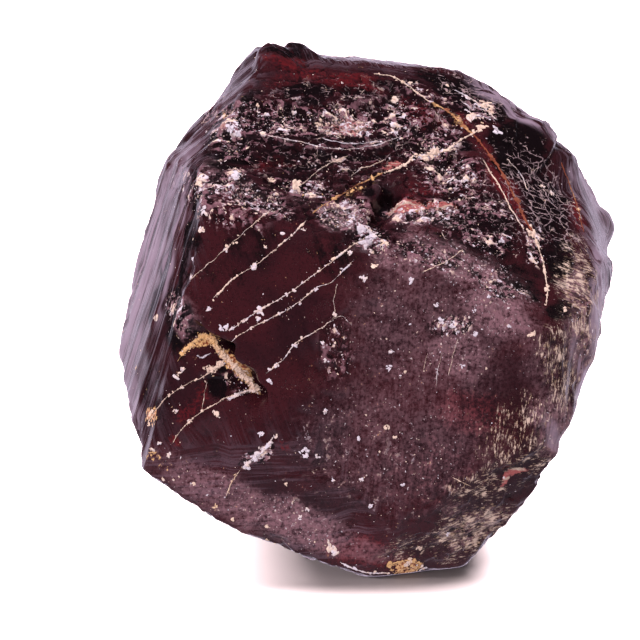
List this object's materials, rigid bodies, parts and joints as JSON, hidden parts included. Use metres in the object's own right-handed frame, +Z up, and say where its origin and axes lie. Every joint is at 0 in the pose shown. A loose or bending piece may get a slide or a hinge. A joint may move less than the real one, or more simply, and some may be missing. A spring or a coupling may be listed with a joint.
{
  "type": "garnet crystal",
  "caption": "Natural dark red garnet crystal with flat growth faces, worn edges, broken ledges and a flat broken face to rest on.",
  "frame": {"origin": "under the middle of the crystal's bounding box, in the plane of the face it rests on", "axes": "+Z up, the large front faces look towards -Y, +X is to the right seen from the front"},
  "size_m": [0.0302, 0.0268, 0.0296],
  "materials": {
    "garnet": "dark maroon, part glassy and part frosted, with cream and ochre veins"
  },
  "bodies": {
    "root": {"garnet_crystal": "garnet"}
  },
  "joints": []
}
